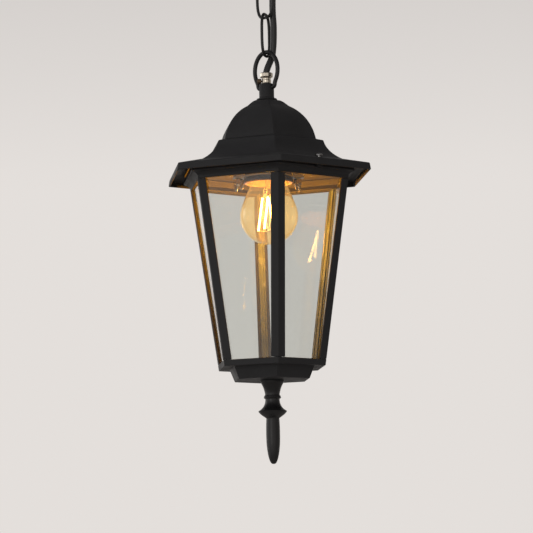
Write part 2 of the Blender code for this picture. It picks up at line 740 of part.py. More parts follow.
def posts():
    """Six angled posts, each a V-shaped section swept down the sloping corner."""
    half = math.radians(60)
    flange = Vector((-FLANGE * math.cos(half), FLANGE * math.sin(half)))
    back = Vector((math.cos(math.radians(30)), math.sin(math.radians(30)))) * WALL
    corner_in = -WALL / math.cos(math.radians(30))
    outline = [(0.0, 0.0), (flange.x, flange.y), (flange.x - back.x, flange.y - back.y)]
    outline += [(corner_in, 0.0), (flange.x - back.x, back.y - flange.y), (flange.x, -flange.y)]
    top, bottom = WINDOW_TOP - GAP, WINDOW_BOTTOM + GAP
    bm = bmesh.new()
    first = bm.faces.new([
        bm.verts.new(((cage_corner(top) + x) * MM, y * MM, metres(top))) for x, y in outline
    ])
    swept = bmesh.ops.extrude_face_region(bm, geom=[first])
    moved = [v for v in swept["geom"] if isinstance(v, bmesh.types.BMVert)]
    slope = Vector(((cage_corner(bottom) - cage_corner(top)) * MM, 0.0, (bottom - top) * MM))
    bmesh.ops.translate(bm, verts=moved, vec=slope)
    bmesh.ops.recalc_face_normals(bm, faces=bm.faces)
    mesh = bpy.data.meshes.new("cage_post")
    bm.to_mesh(mesh)
    bm.free()
    for number in range(6):
        post = keep(f"cage_post_{number + 1}", mesh, BLACK)
        post.rotation_euler.z = math.radians(60 * number - 90)


def panes():
    """Six flat panes behind the posts, standing on the floor of the cage's base."""
    top, bottom = -5.4, -196.1
    lean = math.atan(CAGE_TAPER * FLAT)
    behind = (WALL + GAP + GLASS / 2) / math.cos(lean)
    middle_height = (top + bottom) / 2
    outline = []
    for height, side in ((top, 1), (top, -1), (bottom, -1), (bottom, 1)):
        reach = cage_corner(height) * FLAT - (WALL + GAP + GLASS) / math.cos(lean)
        half_width = math.tan(math.radians(30)) * reach - 0.5
        outline.append((side * half_width, (height - middle_height) / math.cos(lean)))
    for number in range(6):
        out = face_out(60 * number + 30)
        up = (out * math.sin(lean) + Vector((0, 0, math.cos(lean)))).normalized()
        reach = (cage_corner(middle_height) * FLAT - behind) * MM
        middle = out * reach + Vector((0, 0, metres(middle_height)))
        right = up.cross(out).normalized()
        plate(f"glass_pane_{number + 1}", outline, GLASS, GLASS_PANE, placed(middle, right, up))


def cage_base():
    """Bottom rail, step and tray, with a hole for the finial's stud."""
    stud_hole = 3.4
    outer = [(cage_corner(WINDOW_BOTTOM), WINDOW_BOTTOM), (cage_corner(CAGE_BOTTOM), CAGE_BOTTOM)]
    outer += [(TRAY_TOP_RADIUS, CAGE_BOTTOM), (TRAY_RADIUS, TRAY_BOTTOM), (stud_hole, TRAY_BOTTOM)]
    floor = TRAY_BOTTOM + WALL
    inner = [(stud_hole, floor), (TRAY_RADIUS - 1.3, floor), (TRAY_TOP_RADIUS - 1.5, CAGE_BOTTOM + WALL)]
    inner += [(58.3, CAGE_BOTTOM + WALL), (59.2, WINDOW_BOTTOM)]
    six_sided("cage_base", outer + inner, BLACK, closed=True)


def finial():
    """The turned drop under the lantern, on a stud through the tray."""
    bore, bore_end = 2.8, FINIAL_TOP - 8.3
    profile = [(0, bore_end), (bore, bore_end), (bore, FINIAL_TOP), (12.0, FINIAL_TOP)]
    profile += curve_points((12.0, -213.0), (8.9, -217.4), (7.6, -224.6), 5)
    profile += [(7.6, -226.4), (8.9, -227.8), (8.9, -229.2), (7.4, -230.5)]
    profile += curve_points((7.4, -230.5), (7.5, -238.5), (14.7, -242.9), 6)[1:]
    profile += curve_points((14.7, -242.9), (12.9, -245.9), (7.4, -249.4), 3)[1:]
    profile += curve_points((6.8, -251.0), (7.5, -264.0), (6.9, -277.0), 5)
    profile += curve_points((6.9, -277.0), (5.6, -293.0), (2.2, -296.4), 5)[1:]
    profile.append((0, FINIAL_TIP))
    turned("finial", profile, BLACK, sides=24)
    turned(
        "finial_stud", [(0, -203.4), (2.5, -203.4), (2.5, -219.0), (0, -219.0)], ZINC, sides=12
    )
    floor = TRAY_BOTTOM + WALL
    turned(
        "finial_nut", tube(4.9, 3.4, floor + GAP, floor + GAP + 4), ZINC, sides=6, closed=True, turn=10.0
    )


# ---------------------------------------------------------------- assembly

def body(name, members, pivot_height=0.0):
    """An empty on the axis of a body's joint, with the body's pieces under it."""
    root = bpy.data.objects.new(name, None)
    PARTS.objects.link(root)
    root.location.z = metres(pivot_height) if pivot_height else 0.0
    bpy.context.view_layer.update()
    for member in members:
        piece = bpy.data.objects[member]
        piece.parent = root
        piece.matrix_parent_inverse = root.matrix_world.inverted()


def build():
    ceiling_fitting()
    ceiling_loop()
    chain()
    cord()
    roof()
    roof_screws()
    hub_and_tube()
    cord_grip()
    hanger()
    lampholder()
    leads()
    bulb()
    cage_top()
    posts()
    panes()
    cage_base()
    finial()
    body("upper_link", ["chain_link_upper"], LOOP_CENTRE - LOOP_RADIUS)
    body("lower_link", ["chain_link_lower"], UPPER_LINK - LINK_HALF_LENGTH)
    body("bail", ["bail_ring"], LOWER_LINK - LINK_HALF_LENGTH)
    cage_pieces = ["cage_top_ring", "cage_base", "finial", "finial_stud", "finial_nut"]
    cage_pieces += [f"cage_post_{n}" for n in range(1, 7)] + [f"glass_pane_{n}" for n in range(1, 7)]
    bulb_pieces = ["bulb_glass", "bulb_cap", "bulb_contact", "bulb_stem", "bulb_filaments"]
    body("cage", cage_pieces)
    body("bulb", bulb_pieces)
    lantern_pieces = ["roof", "hub", "hub_tube", "hub_lock_nut", "cord_grip", "grip_screw"]
    lantern_pieces += ["hanger_strap", "holder_plate", "lampholder_body", "lampholder_ring"]
    lantern_pieces += ["screw_shell", "centre_contact", "live_lead", "neutral_lead"]
    lantern_pieces += [f"roof_screw_{n}" for n in range(1, 3)]
    lantern_pieces += [f"{kind}_{n}" for kind in ("strap_stud", "wing_nut") for n in (1, 2)]
    body("lantern", lantern_pieces, BAIL_PIVOT)


build()
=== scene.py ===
"""The hanging lantern as it looks: lit bulb, clear panes, black textured castings, chain and flex.

Metres, +Z up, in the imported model's frame. Sizes below are in millimetres, and a height is
measured from the lower rim of the roof's eave. A six-sided piece has a corner towards -Y, and
its radius is the one of its corners.
"""

import json
import math

import bmesh
import bpy
from mathutils import Matrix, Vector

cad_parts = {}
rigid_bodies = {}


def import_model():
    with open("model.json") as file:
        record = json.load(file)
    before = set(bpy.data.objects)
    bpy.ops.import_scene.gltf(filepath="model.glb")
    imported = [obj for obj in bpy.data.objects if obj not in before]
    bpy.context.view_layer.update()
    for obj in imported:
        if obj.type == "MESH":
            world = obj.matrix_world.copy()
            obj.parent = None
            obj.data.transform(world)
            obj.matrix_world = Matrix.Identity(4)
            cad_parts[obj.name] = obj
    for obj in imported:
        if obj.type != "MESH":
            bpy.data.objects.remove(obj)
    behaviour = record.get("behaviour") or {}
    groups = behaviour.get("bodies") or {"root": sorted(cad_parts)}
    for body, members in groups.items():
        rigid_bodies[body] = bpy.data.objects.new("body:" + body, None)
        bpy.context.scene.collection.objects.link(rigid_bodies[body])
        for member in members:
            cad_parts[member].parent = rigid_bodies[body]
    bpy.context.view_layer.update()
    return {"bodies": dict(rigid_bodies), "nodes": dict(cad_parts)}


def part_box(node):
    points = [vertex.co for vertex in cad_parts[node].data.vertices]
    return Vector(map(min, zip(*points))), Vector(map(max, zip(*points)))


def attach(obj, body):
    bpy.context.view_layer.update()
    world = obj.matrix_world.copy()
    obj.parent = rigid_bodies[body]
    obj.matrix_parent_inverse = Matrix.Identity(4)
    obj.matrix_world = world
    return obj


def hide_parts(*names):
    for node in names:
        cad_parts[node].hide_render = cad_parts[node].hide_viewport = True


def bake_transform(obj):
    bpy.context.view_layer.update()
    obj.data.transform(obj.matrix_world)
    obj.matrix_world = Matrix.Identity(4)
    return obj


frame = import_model()

MM = 0.001
CEILING = 275.0            # height of the ceiling above the eave rim
FLAT = math.cos(math.radians(30))  # a six-sided piece's reach at its faces, for 1 at its corners
WALL = 1.8                 # thickness of the castings
GAP = 0.3                  # play between neighbouring pieces
LOOKS = {}                 # materials by name


def metres(height):
    """World Z of a height above the eave rim."""
    return (height - CEILING) * MM


def point(x, y, height):
    return Vector((x * MM, y * MM, metres(height)))


def heading(angle):
    """Unit vector at an angle from +X, in degrees."""
    return Vector((math.cos(math.radians(angle)), math.sin(math.radians(angle)), 0.0))


ALONG = heading(-45.0)     # the plane of the bail
ACROSS = heading(45.0)     # the plane of the ceiling loop


# ---------------------------------------------------------------- camera, room and lights

CAMERA_AIM = -120.5        # height the camera turns about
CAMERA_DISTANCE = 2.849
CAMERA_TURN, CAMERA_RISE, CAMERA_ROLL = 6.63, -6.77, -1.09
CAMERA_LENS = 185.96
CAMERA_SHIFT = (-0.00743, 0.05051)


def camera():
    """Slightly below the lantern, looking up at one corner of it."""
    turn, rise, roll = (math.radians(a) for a in (CAMERA_TURN, CAMERA_RISE, CAMERA_ROLL))
    back = Vector((
        -math.sin(turn) * math.cos(rise), -math.cos(turn) * math.cos(rise), math.sin(rise),
    ))
    data = bpy.data.cameras.new("camera")
    data.sensor_width = 36.0
    data.lens = CAMERA_LENS
    data.shift_x, data.shift_y = CAMERA_SHIFT
    data.clip_end = 100.0
    made = bpy.data.objects.new("camera", data)
    bpy.context.scene.collection.objects.link(made)
    look = (-back).to_track_quat("-Z", "Y").to_matrix().to_4x4()
    place = Matrix.Translation(point(0, 0, CAMERA_AIM) + back * CAMERA_DISTANCE)
    made.matrix_world = place @ look @ Matrix.Rotation(roll, 4, "Z")
    bpy.context.scene.camera = made


WALL_LIGHT = (0.775, 0.738, 0.710)
# The room's light along X, from the left to the right, and its share along Z, from below to above.
SIDEWAYS_LIGHT = (
    (0.0, (0.88, 0.85, 0.82)), (0.40, WALL_LIGHT), (0.60, WALL_LIGHT), (0.80, (0.46, 0.43, 0.40)),
    (1.0, (0.32, 0.30, 0.28)),
)
UPRIGHT_LIGHT = (
    (0.0, (0.34, 0.33, 0.32)), (0.25, (0.62, 0.61, 0.60)), (0.42, (1, 1, 1)), (0.58, (1, 1, 1)),
    (0.70, (0.50, 0.50, 0.51)), (1.0, (0.20, 0.20, 0.21)),
)
FLOOR_DROP, FLOOR_HALF_WIDTH, FLOOR_COLOUR = 2.2, 8.0, (0.86, 0.84, 0.81)
# Soft lamps in the room: name, place in metres, width, watts and colour.
SOFT_LAMPS = (
    ("key", (-1.5, -2.2, -0.1), 1.0, 4.2, (1.0, 0.98, 0.95)),
    ("rim", (-1.6, 1.2, 0.1), 0.8, 2.0, (1.0, 0.99, 0.98)),
)
SOFT_LAMP_AIM = -60.0
BULB_WATTS, BULB_COLOUR, BULB_GLOW_RADIUS, BULB_GLOW_HEIGHT = 6.5, (1.0, 0.48, 0.05), 0.008, -38.0


def soft_lamp(name, place, size, power, colour):
    """A round lamp that faces the lantern."""
    data = bpy.data.lights.new(name, "AREA")
    data.shape = "DISK"
    data.size = size
    data.energy = power
    data.color = colour
    made = bpy.data.objects.new(name, data)
    bpy.context.scene.collection.objects.link(made)
    made.location = place
    aim = point(0, 0, SOFT_LAMP_AIM) - Vector(place)
    made.rotation_euler = aim.to_track_quat("-Z", "Y").to_euler()


def light_ramp(tree, value, stops):
    """A colour ramp over a direction's -1 to 1."""
    shift = tree.nodes.new("ShaderNodeMath")
    shift.operation = "MULTIPLY_ADD"
    shift.inputs[1].default_value = 0.5
    shift.inputs[2].default_value = 0.5
    ramp = tree.nodes.new("ShaderNodeValToRGB")
    marks = ramp.color_ramp.elements
    marks[0].position, marks[0].color = stops[0][0], (*stops[0][1], 1)
    marks[1].position, marks[1].color = stops[-1][0], (*stops[-1][1], 1)
    for place, colour in stops[1:-1]:
        marks.new(place).color = (*colour, 1)
    tree.links.new(value, shift.inputs[0])
    tree.links.new(shift.outputs[0], ramp.inputs[0])
    return ramp.outputs[0]


def room_light():
    """Even light from a pale room: brighter on the left, darker on the right and above."""
    world = bpy.data.worlds.new("room")
    bpy.context.scene.world = world
    world.use_nodes = True
    tree = world.node_tree
    coords = tree.nodes.new("ShaderNodeTexCoord")
    split = tree.nodes.new("ShaderNodeSeparateXYZ")
    tree.links.new(coords.outputs["Generated"], split.inputs[0])
    product = tree.nodes.new("ShaderNodeMix")
    product.data_type = "RGBA"
    product.blend_type = "MULTIPLY"
    product.inputs["Factor"].default_value = 1.0
    for axis, stops, name in (("X", SIDEWAYS_LIGHT, "A"), ("Z", UPRIGHT_LIGHT, "B")):
        socket = next(x for x in product.inputs if x.name == name and x.type == "RGBA")
        tree.links.new(light_ramp(tree, split.outputs[axis], stops), socket)
    result = next(x for x in product.outputs if x.type == "RGBA")
    tree.links.new(result, tree.nodes["Background"].inputs["Color"])


def room():
    """A pale plain room with a pale floor, two soft lamps and the bulb's own light."""
    room_light()
    floor = bpy.data.meshes.new("floor")
    bm = bmesh.new()
    bmesh.ops.create_grid(bm, x_segments=1, y_segments=1, size=FLOOR_HALF_WIDTH)
    bm.to_mesh(floor)
    bm.free()
    made = bpy.data.objects.new("floor", floor)
    bpy.context.scene.collection.objects.link(made)
    made.location.z = -FLOOR_DROP
    floor.materials.append(plain("floor", FLOOR_COLOUR, 0.9))

    for lamp in SOFT_LAMPS:
        soft_lamp(*lamp)
    glow = bpy.data.lights.new("bulb_light", "POINT")
    glow.energy = BULB_WATTS
    glow.color = BULB_COLOUR
    glow.shadow_soft_size = BULB_GLOW_RADIUS
    lamp = bpy.data.objects.new("bulb_light", glow)
    bpy.context.scene.collection.objects.link(lamp)
    lamp.parent = frame["bodies"]["bulb"]
    lamp.location = point(0, 0, BULB_GLOW_HEIGHT)
    lamp.visible_camera = False
    lamp.visible_glossy = False
    lamp.visible_transmission = False


# ---------------------------------------------------------------- materials

def shader_of(name):
    made = bpy.data.materials.new(name)
    made.use_nodes = True
    return made, made.node_tree, made.node_tree.nodes["Principled BSDF"]


def settings(shader, **values):
    """Sets sockets of a shader, named with underscores for their spaces."""
    for name, value in values.items():
        socket = shader.inputs[name.replace("_", " ").title().replace("Ior", "IOR")]
        socket.default_value = (*value, 1.0) if isinstance(value, tuple) else value


def plain(name, colour, roughness):
    made, _, shader = shader_of(name)
    settings(shader, base_color=colour, roughness=roughness)
    return made


def noise(tree, scale, detail, stretch=(1.0, 1.0, 1.0)):
    """A noise texture in the piece's own space, in features a metre."""
    coords = tree.nodes.new("ShaderNodeTexCoord")
    mapping = tree.nodes.new("ShaderNodeMapping")
    mapping.inputs["Scale"].default_value = stretch
    made = tree.nodes.new("ShaderNodeTexNoise")
    made.inputs["Scale"].default_value = scale
    made.inputs["Detail"].default_value = detail
    tree.links.new(coords.outputs["Object"], mapping.inputs["Vector"])
    tree.links.new(mapping.outputs["Vector"], made.inputs["Vector"])
    return made


def spread(tree, source, low, high, target):
    """Feeds a 0 to 1 texture to a socket, from low to high."""
    ramp = tree.nodes.new("ShaderNodeMapRange")
    ramp.inputs["From Min"].default_value = 0.3
    ramp.inputs["From Max"].default_value = 0.7
    ramp.inputs["To Min"].default_value = low
    ramp.inputs["To Max"].default_value = high
    tree.links.new(source, ramp.inputs["Value"])
    tree.links.new(ramp.outputs["Result"], target)


def tint(tree, source, first, second, target):
    """Feeds a texture to a colour socket, from one colour to another."""
    ramp = tree.nodes.new("ShaderNodeValToRGB")
    ramp.color_ramp.elements[0].position = 0.32
    ramp.color_ramp.elements[0].color = (*first, 1)
    ramp.color_ramp.elements[1].position = 0.68
    ramp.color_ramp.elements[1].color = (*second, 1)
    tree.links.new(source, ramp.inputs["Fac"])
    tree.links.new(ramp.outputs["Color"], target)


def bumped(tree, shader, height, strength, distance):
    bump = tree.nodes.new("ShaderNodeBump")
    bump.inputs["Strength"].default_value = strength
    bump.inputs["Distance"].default_value = distance
    tree.links.new(height, bump.inputs["Height"])
    tree.links.new(bump.outputs["Normal"], shader.inputs["Normal"])


def coated(
    name, first, second, rough, grain=1500.0, depth=0.35, coat=0.0, metallic=0.0, stretch=(1, 1, 1),
    shine=0.5,
):
    """A painted, plated or moulded surface: cloudy colour, uneven gloss and a fine grain.

    The colour runs from first to second and the roughness over the two values of rough. The grain
    is in features a metre, and depth is how strongly it stands out.
    """
    made, tree, shader = shader_of(name)
    settings(shader, metallic=metallic, coat_weight=coat, coat_roughness=0.25, specular_ior_level=shine)
    cloud = noise(tree, 55.0, 5.0)
    fine = noise(tree, grain, 3.0, stretch)
    tint(tree, cloud.outputs["Fac"], first, second, shader.inputs["Base Color"])
    spread(tree, cloud.outputs["Fac"], rough[0], rough[1], shader.inputs["Roughness"])
    bumped(tree, shader, fine.outputs["Fac"], depth, 0.0002)
    return made


def clear(name, colour, ior, ripple, dust=0.0, glow=0.0):
    """Glass that bends and mirrors, and lets the lamp's light through to what is behind. Glow is a faint
    warm emission of the glass itself: a painted glow for the filament's light in it.
    """
    made, tree, shader = shader_of(name)
    settings(shader, base_color=colour, transmission_weight=1.0, ior=ior)
    # The glass's emission is a painted glow, not a lamp.
    settings(shader, emission_color=(1.0, 0.62, 0.22), emission_strength=glow)
    wave = noise(tree, 26.0, 2.0)
    bumped(tree, shader, wave.outputs["Fac"], ripple, 0.002)
    film = noise(tree, 160.0, 6.0)
    spread(tree, film.outputs["Fac"], 0.0, dust, shader.inputs["Roughness"])
    path = tree.nodes.new("ShaderNodeLightPath")
    through = tree.nodes.new("ShaderNodeBsdfTransparent")
    through.inputs["Color"].default_value = (*colour, 1)
    mix = tree.nodes.new("ShaderNodeMixShader")
    out = tree.nodes["Material Output"]
    tree.links.new(path.outputs["Is Shadow Ray"], mix.inputs[0])
    tree.links.new(shader.outputs[0], mix.inputs[1])
    tree.links.new(through.outputs[0], mix.inputs[2])
    tree.links.new(mix.outputs[0], out.inputs["Surface"])
    return made


def glowing(name, colour, strength):
    """A hot filament, a little brighter in some places than in others."""
    made, tree, shader = shader_of(name)
    settings(shader, base_color=(0.9, 0.7, 0.35), roughness=0.6)
    settings(shader, emission_color=colour)
    grains = noise(tree, 900.0, 2.0)
    target = shader.inputs["Emission Strength"]
    spread(tree, grains.outputs["Fac"], strength * 0.85, strength * 1.15, target)
    return made


def make_looks():
    LOOKS["coat"] = coated(
        "black_textured_coat", (0.025, 0.0255, 0.027), (0.031, 0.0315, 0.034), (0.50, 0.64), shine=0.26,
    )
    LOOKS["gloss"] = coated(
        "black_gloss_paint", (0.012, 0.012, 0.013), (0.016, 0.016, 0.017), (0.30, 0.42),
        grain=700.0, depth=0.12, shine=0.42,
    )
    LOOKS["flex"] = coated(
        "black_flex", (0.014, 0.014, 0.015), (0.020, 0.020, 0.022), (0.30, 0.42),
        grain=600.0, depth=0.15, stretch=(1, 1, 0.05),
    )
    # The glazing beads: black paint given a lighter colour than the coat, as painted lamplight, so that the
    # bulb's warm light on them reads gold.
    LOOKS["painted_lamplight"] = coated(
        "black_paint_with_painted_lamplight", (0.030, 0.040, 0.038), (0.052, 0.068, 0.062), (0.20, 0.30),
        grain=700.0, depth=0.03, shine=0.7,
    )
    LOOKS["steel"] = coated(
        "dark_steel", (0.22, 0.22, 0.22), (0.32, 0.32, 0.32), (0.12, 0.2),
        grain=600.0, depth=0.05, metallic=1.0,
    )
    LOOKS["nickel"] = coated(
        "nickel", (0.66, 0.60, 0.50), (0.74, 0.68, 0.58), (0.16, 0.30),
        grain=900.0, depth=0.08, metallic=1.0, stretch=(1, 1, 6),
    )
    LOOKS["zinc"] = coated(
        "zinc_plate", (0.50, 0.51, 0.52), (0.63, 0.63, 0.64), (0.30, 0.45),
        grain=1200.0, depth=0.15, metallic=1.0,
    )
    LOOKS["brass"] = coated(
        "brass", (0.62, 0.45, 0.20), (0.75, 0.57, 0.28), (0.22, 0.38),
        grain=1000.0, depth=0.1, metallic=1.0,
    )
    LOOKS["bronze"] = coated(
        "brown_plate", (0.10, 0.065, 0.040), (0.16, 0.11, 0.07), (0.35, 0.5),
        grain=900.0, depth=0.3, metallic=0.6,
    )
    LOOKS["holder"] = coated(
        "dark_bakelite", (0.030, 0.024, 0.019), (0.045, 0.036, 0.028), (0.22, 0.34),
        grain=500.0, depth=0.08, coat=0.4,
    )
    LOOKS["plastic"] = coated(
        "white_plastic", (0.70, 0.69, 0.65), (0.76, 0.75, 0.71), (0.42, 0.55), depth=0.1,
    )
    LOOKS["brown"] = coated(
        "brown_lead", (0.16, 0.055, 0.025), (0.21, 0.075, 0.035), (0.38, 0.5), depth=0.1,
    )
    LOOKS["blue"] = coated(
        "blue_lead", (0.025, 0.085, 0.33), (0.035, 0.11, 0.40), (0.38, 0.5), depth=0.1,
    )
    LOOKS["pane"] = clear("pane_glass", (0.83, 0.845, 0.825), 1.5, 0.03, dust=0.012)
    # The bulb's glass gets a faint painted glow that stands for the filament's light in it.
    LOOKS["bulb"] = clear("bulb_glass", (0.995, 0.86, 0.60), 1.45, 0.015, glow=0.10)
    LOOKS["stem"] = clear("stem_glass", (0.97, 0.96, 0.93), 1.5, 0.2)
    LOOKS["filament"] = glowing("filament", (1.0, 0.60, 0.22), 150.0)


# ---------------------------------------------------------------- ways of making a piece

SHARP_ANGLE = math.radians(32)
BEVEL_ANGLE = math.radians(28)
NOTHING = 1e-6             # less than this is no length at all


def finished(bm, name):
    """The mesh of a closed solid, its faces turned outward."""
    bmesh.ops.recalc_face_normals(bm, faces=bm.faces)
    mesh = bpy.data.meshes.new(name)
    bm.to_mesh(mesh)
    bm.free()
    return mesh


def softened(obj, bevel, segments, angle):
    """Rounds the sharp edges of a piece, by a bevel in millimetres."""
    soft = obj.modifiers.new("soft_edges", "BEVEL")
    soft.width = bevel * MM
    soft.segments = segments
    soft.limit_method = "ANGLE"
    soft.angle_limit = angle
    return soft


def keep(name, mesh, look, body, node=None, bevel=0.0, segments=2):
    """A piece on a body, standing for a CAD node where one is named."""
    made = bpy.data.objects.new(name, mesh)
    bpy.context.scene.collection.objects.link(made)
    mesh.materials.clear()
    mesh.materials.append(LOOKS[look])
    mesh.shade_smooth()
    if bevel:
        softened(made, bevel, segments, BEVEL_ANGLE).harden_normals = True
    else:
        mesh.set_sharp_from_angle(angle=SHARP_ANGLE)
    if body:
        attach(made, body)
    if node:
        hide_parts(node)
    return made


def curve_points(start, pull, end, steps):
    """Points of a curve from start to end that leans towards pull."""
    found = []
    for i in range(steps + 1):
        t = i / steps
        found.append(tuple(
            a * (1 - t) ** 2 + 2 * b * t * (1 - t) + c * t ** 2
            for a, b, c in zip(start, pull, end)
        ))
    return found


def arc_points(centre, radii, first, last, steps):
    """Points of an ellipse's arc, as (radius, height), from one angle to another in degrees."""
    found = []
    for i in range(steps + 1):
        t = math.radians(first + (last - first) * i / steps)
        found.append((centre[0] + radii[0] * math.cos(t), centre[1] + radii[1] * math.sin(t)))
    return found


def inset(profile, depth):
    """The inner side of a six-sided shell whose outer side is this profile."""
    points = [Vector((r * FLAT, h)) for r, h in profile]
    lines = []
    for a, b in zip(points, points[1:]):
        along = (b - a).normalized()
        lines.append((a + Vector((along.y, -along.x)) * depth, along))
    inner = [lines[0][0]]
    for (p, d), (q, e) in zip(lines, lines[1:]):
        cross = d.x * e.y - d.y * e.x
        if abs(cross) < NOTHING:
            inner.append(q)
        else:
            inner.append(p + d * (((q.x - p.x) * e.y - (q.y - p.y) * e.x) / cross))
    last, along = lines[-1]
    inner.append(last + along * (points[-1] - points[-2]).length)
    return [(p.x / FLAT, p.y) for p in inner]


def turned_mesh(name, profile, sides=64, closed=False, turn=0.0, at=(0.0, 0.0)):
    """A solid of revolution through (radius, height) points, with this many sides."""
    bm = bmesh.new()
    rings = []
    for r, h in profile:
        if r < NOTHING:
            rings.append([bm.verts.new(point(at[0], at[1], h))])
            continue
        ring = []
        for i in range(sides):
            out = heading(turn + 360.0 * i / sides) * r
            ring.append(bm.verts.new(point(at[0] + out.x, at[1] + out.y, h)))
        rings.append(ring)
    pairs = list(zip(rings, rings[1:]))
    if closed:
        pairs.append((rings[-1], rings[0]))
    for above, below in pairs:
        for i in range(sides):
            j = (i + 1) % sides
            corners = [above[i % len(above)], above[j % len(above)]]
            corners += [below[j % len(below)], below[i % len(below)]]
            unique = list(dict.fromkeys(corners))
            if len(unique) > 2:
                bm.faces.new(unique)
    return finished(bm, name)


def ring_profile(outer, inner, low, high):
    """The section of a plain ring, from its two radii and two heights."""
    return [(inner, high), (outer, high), (outer, low), (inner, low)]


def tube_mesh(name, line, radius, sides=16, loop=False):
    """A round tube along points in metres, with flat ends where it isn't a loop."""
    count = len(line)
    bm = bmesh.new()
    rings = []
    side = None
    for i, here in enumerate(line):
        before = line[i - 1] if i or loop else here
        after = line[(i + 1) % count] if i < count - 1 or loop else here
        along = (after - before).normalized()
        if side is None:
            side = along.orthogonal().normalized()
        side = (side - along * side.dot(along)).normalized()
        other = along.cross(side)
        rings.append([
            bm.verts.new(here + (side * math.cos(t) + other * math.sin(t)) * radius)
            for t in (2 * math.pi * k / sides for k in range(sides))
        ])
    for one, two in zip(rings, rings[1:]):
        for k in range(sides):
            m = (k + 1) % sides
            bm.faces.new((one[k], one[m], two[m], two[k]))
    if loop:
        first = rings[0]
        last = rings[-1]
        shift = min(range(sides), key=lambda s: (last[0].co - first[s].co).length)
        for k in range(sides):
            m = (k + 1) % sides
            bm.faces.new((last[k], last[m], first[(m + shift) % sides], first[(k + shift) % sides]))
    else:
        bm.faces.new(rings[0])
        bm.faces.new(rings[-1])
    return finished(bm, name)


def prism_mesh(name, outline, thickness, frame_of):
    """A flat outline in millimetres, thickened evenly and placed by a frame in metres."""
    bm = bmesh.new()
    low, high = (
        [bm.verts.new(frame_of @ Vector((x * MM, y * MM, side * thickness * MM / 2))) for x, y in outline]
        for side in (-1, 1)
    )
    bm.faces.new(low)
    bm.faces.new(high)
    for i in range(len(low)):
        j = (i + 1) % len(low)
        bm.faces.new((low[i], low[j], high[j], high[i]))
    return finished(bm, name)


def placed(middle, right, up):
    """The frame whose X is right and whose Y is up, with its middle in metres."""
    out = right.cross(up)
    return Matrix((
        (right.x, up.x, out.x, middle.x),
        (right.y, up.y, out.y, middle.y),
        (right.z, up.z, out.z, middle.z),
        (0.0, 0.0, 0.0, 1.0),
    ))


def merged(name, meshes):
    """One mesh holding several."""
    bm = bmesh.new()
    for mesh in meshes:
        bm.from_mesh(mesh)
    made = bpy.data.meshes.new(name)
    bm.to_mesh(made)
    bm.free()
    return made


def refined(node, look, bevel=0.0):
    """Gives a CAD node its finish, and softens its edges."""
    obj = frame["nodes"][node]
    for place in obj.material_slots:
        place.material = LOOKS[look]
    if bevel:
        softened(obj, bevel, 2, SHARP_ANGLE)


# ---------------------------------------------------------------- flex

CORD_RADIUS = 3.4
CORD_SIDES = 20
KNOT_STEPS = 8             # points of the flex for each knot of its route
SHORTEST_STEP = 0.05       # a stretch adds no last point nearer than this to the one before
CORD_ROUTE = (
    (14.6, 0.0, 262.0), (14.6, 0.0, 250.0), (14.6, 0.0, 238.0), (12.8, 0.0, 224.0),
    (9.9, 0.0, 208.0), (8.3, 0.0, 194.0), (7.9, 0.0, 182.0), (8.1, 0.0, 172.0), (8.6, 0.0, 163.0),
    (8.6, 0.2, 154.0), (8.4, 0.7, 146.0), (8.0, 1.3, 139.0), (7.4, 1.8, 133.5), (6.7, 1.8, 129.5),
    (5.0, 1.2, 124.8), (3.0, 0.6, 120.4), (1.3, 0.2, 116.2), (0.2, 0.0, 112.6), (0.0, 0.0, 109.0),
    (0.0, 0.0, 98.0), (0.0, 0.0, 88.0), (0.0, 0.0, 76.0), (0.0, 0.0, 64.0),
)
# Each stretch of the flex: its lower end, the two bodies it joins, and where it turns from one to
# the other.
CORD_STRETCHES = (
    (206.0, "ceiling_fitting", "upper_link", 228.0, 208.0),
    (164.5, "upper_link", "lower_link", 186.0, 166.0),
    (122.5, "lower_link", "bail", 142.0, 124.0),
    (64.0, "bail", "lantern", 121.5, 113.0),
)


def smooth_route(knots, steps):
    """Points on a smooth curve through the knots."""
    points = [Vector(k) for k in knots]
    ends = [points[0] * 2 - points[1]] + points + [points[-1] * 2 - points[-2]]
    found = []
    for a, b, c, d in zip(ends, ends[1:], ends[2:], ends[3:]):
        for i in range(steps):
            t = i / steps
            found.append(0.5 * (
                2 * b + (c - a) * t + (2 * a - 5 * b + 4 * c - d) * t ** 2
                + (3 * b - a - 3 * c + d) * t ** 3
            ))
    return found + [points[-1]]


def crossing(line, height):
    """The place where a falling line passes a height, and the index of the point after it."""
    for i, (a, b) in enumerate(zip(line, line[1:])):
        if a.z >= height >= b.z:
            return a.lerp(b, (a.z - height) / (a.z - b.z)), i + 1
    return line[-1], len(line)


def flex():
    line = smooth_route(CORD_ROUTE, KNOT_STEPS)
    begin = line[0]
    rest = line[1:]
    for number, (low, upper_body, lower_body, high_turn, low_turn) in enumerate(CORD_STRETCHES, 1):
        end, index = crossing([begin] + rest, low)
        stretch = [begin] + rest[:index - 1]
        if (stretch[-1] - end).length > SHORTEST_STEP:
            stretch.append(end)
        rest = rest[index - 1:]
        path = [point(*p) for p in stretch]
        mesh = tube_mesh(f"flex_{number}", path, CORD_RADIUS * MM, CORD_SIDES)
        piece = keep(f"flex_{number}", mesh, "flex", None, "flex_cord")
        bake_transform(piece)
        begin = end


# ---------------------------------------------------------------- ceiling and chain

